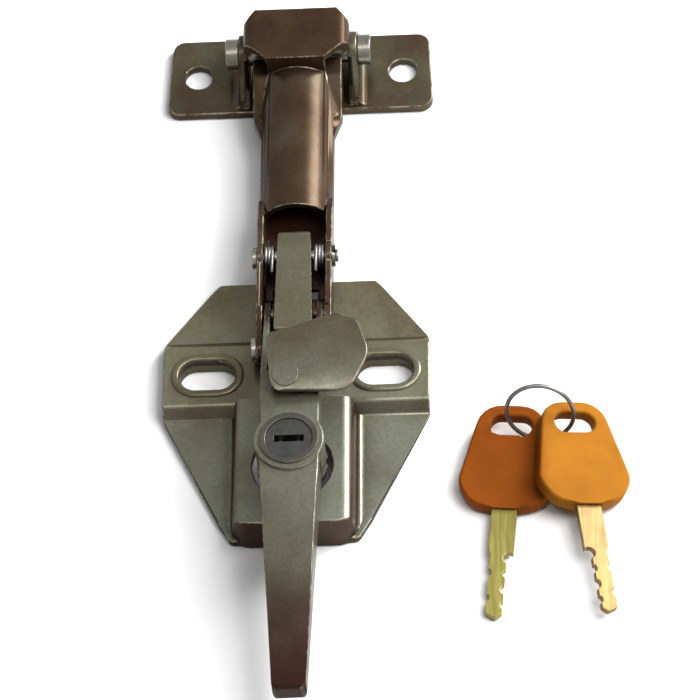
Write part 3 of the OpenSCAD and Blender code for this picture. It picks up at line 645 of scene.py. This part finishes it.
def arm_shade_floor():
    """The floor between the arm's flanges, which goes on in front of the catch pin, painted dark as painted
    shade.
    """
    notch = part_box("pivot_bracket")[1].x + NOTCH_GAP
    half = [(ARM_FLOOR_HALF, ARM_FLOOR_BACK)]
    for step in range(CORNER_STEPS + 1):
        angle = math.radians(90 * step / CORNER_STEPS)
        x = ARM_FLOOR_HALF - ARM_FLOOR_CORNER + ARM_FLOOR_CORNER * math.cos(angle)
        half.append((x, ARM_FLOOR_FRONT + ARM_FLOOR_CORNER - ARM_FLOOR_CORNER * math.sin(angle)))
    half += [(notch, ARM_FLOOR_FRONT), (notch, NOTCH_BACK)]
    outline = half + [(-x, y) for x, y in reversed(half)]
    bm = bmesh.new()
    sheet = bm.faces.new([bm.verts.new((x, y, ARM_FLOOR_LOW)) for x, y in outline])
    raised = bmesh.ops.extrude_face_region(bm, geom=[sheet])["geom"]
    lifted = [item for item in raised if isinstance(item, bmesh.types.BMVert)]
    bmesh.ops.translate(bm, verts=lifted, vec=(0, 0, ARM_FLOOR_SHEET))
    bmesh.ops.recalc_face_normals(bm, faces=bm.faces)
    mesh = bpy.data.meshes.new("arm_shade_floor")
    bm.to_mesh(mesh)
    bm.free()
    piece = add_object("arm_shade_floor", mesh)
    soft = piece.modifiers.new("soft_edges", "BEVEL")
    soft.width = ARM_FLOOR_ROUND
    soft.segments = ROUND_SEGMENTS
    soft.limit_method = "ANGLE"
    soft.angle_limit = SHARP_ANGLE
    place_like(piece, "hook_arm")
    set_finish(piece, "painted_shade")


# Studio: white surroundings, a floor that takes the shadow, and the lights

def white_rays(tree):
    """1 for camera, glossy and transmission rays, which see plain white, and 0 for the rest."""
    path = tree.nodes.new("ShaderNodeLightPath")
    seen = path.outputs["Is Camera Ray"]
    for kind in ("Is Glossy Ray", "Is Transmission Ray"):
        either = tree.nodes.new("ShaderNodeMath")
        either.operation = "MAXIMUM"
        tree.links.new(seen, either.inputs[0])
        tree.links.new(path.outputs[kind], either.inputs[1])
        seen = either.outputs[0]
    return seen


def make_world():
    """Surroundings that are plain white to look at and light the object only weakly."""
    world = bpy.data.worlds.new("studio")
    bpy.context.scene.world = world
    world.use_nodes = True
    tree = world.node_tree
    ambient = tree.nodes["Background"]
    ambient.inputs["Color"].default_value = WHITE
    ambient.inputs["Strength"].default_value = AMBIENT_STRENGTH
    white = tree.nodes.new("ShaderNodeBackground")
    white.inputs["Color"].default_value = WHITE
    white.inputs["Strength"].default_value = 1.0
    mix = tree.nodes.new("ShaderNodeMixShader")
    tree.links.new(white_rays(tree), mix.inputs[0])
    tree.links.new(ambient.outputs[0], mix.inputs[1])
    tree.links.new(white.outputs[0], mix.inputs[2])
    tree.links.new(mix.outputs[0], tree.nodes["World Output"].inputs["Surface"])


def stage_material():
    """White floor that takes the object's shadow and goes over to the plain white surroundings."""
    m = Nodes("white_floor")
    m.set(Base_Color=STAGE_GREY, Roughness=0.9, Specular_IOR_Level=0.1)
    distance = m.add("ShaderNodeVectorMath", operation="LENGTH")
    m.link(m.place, distance.inputs[0])
    shown = m.add("ShaderNodeMath", operation="MULTIPLY")
    m.link(m.between(distance.outputs["Value"], *STAGE_FADE), shown.inputs[0])
    m.link(white_rays(m.tree), shown.inputs[1])
    white = m.add("ShaderNodeEmission", Color=WHITE, Strength=1.0)
    mix = m.add("ShaderNodeMixShader")
    m.link(shown.outputs[0], mix.inputs[0])
    m.link(m.shader.outputs[0], mix.inputs[1])
    m.link(white.outputs[0], mix.inputs[2])
    m.link(mix.outputs[0], m.tree.nodes["Material Output"].inputs["Surface"])
    return m.material


def make_stage():
    """The floor, just below the object."""
    mesh = bpy.data.meshes.new("floor")
    corners = [(x * STAGE_HALF, y * STAGE_HALF, 0) for x, y in ((-1, -1), (1, -1), (1, 1), (-1, 1))]
    mesh.from_pydata(corners, [], [(0, 1, 2, 3)])
    mesh.materials.append(stage_material())
    floor = add_object("floor", mesh)
    floor.location.z = cad_box[0][2] - STAGE_GAP


def area_light(name, place, size, power):
    """A rectangular light that aims at the origin."""
    data = bpy.data.lights.new(name, "AREA")
    data.shape = "RECTANGLE"
    data.size, data.size_y = size
    data.energy = power
    lamp = add_object(name, data)
    lamp.location = place
    lamp.rotation_euler = (-Vector(place)).to_track_quat("-Z", "Y").to_euler()


def make_camera():
    """The camera at the photograph's viewing angle."""
    elevation = math.radians(VIEW_ELEVATION)
    azimuth = math.radians(VIEW_AZIMUTH)
    forward = Vector((
        -math.sin(azimuth) * math.cos(elevation),
        math.cos(azimuth) * math.cos(elevation),
        -math.sin(elevation),
    ))
    data = bpy.data.cameras.new("photo_camera")
    data.sensor_width = SENSOR_MM
    data.sensor_fit = "HORIZONTAL"
    data.lens = FOCAL_PX / IMAGE_PX * SENSOR_MM
    data.clip_start = CLIP_START
    camera = add_object("photo_camera", data)
    camera.location = VIEW_TARGET - forward * VIEW_DISTANCE
    camera.rotation_euler = forward.to_track_quat("-Z", "Y").to_euler()
    camera.rotation_euler.rotate_axis("Z", math.radians(VIEW_ROLL))
    bpy.context.scene.camera = camera


bending_spring()
slot_rims()
arm_shade_floor()
for node, cad_object in frame["nodes"].items():
    finish = FINISH_OF.get(node, "bright")
    if node in EDGE_ROUND:
        set_finish(rounded_copy(node, EDGE_ROUND[node]), finish)
    for slot in cad_object.material_slots:
        slot.material = finishes[finish]

make_world()
make_stage()
for light in LIGHTS:
    area_light(*light)
make_camera()
bpy.context.scene.view_settings.view_transform = "Standard"
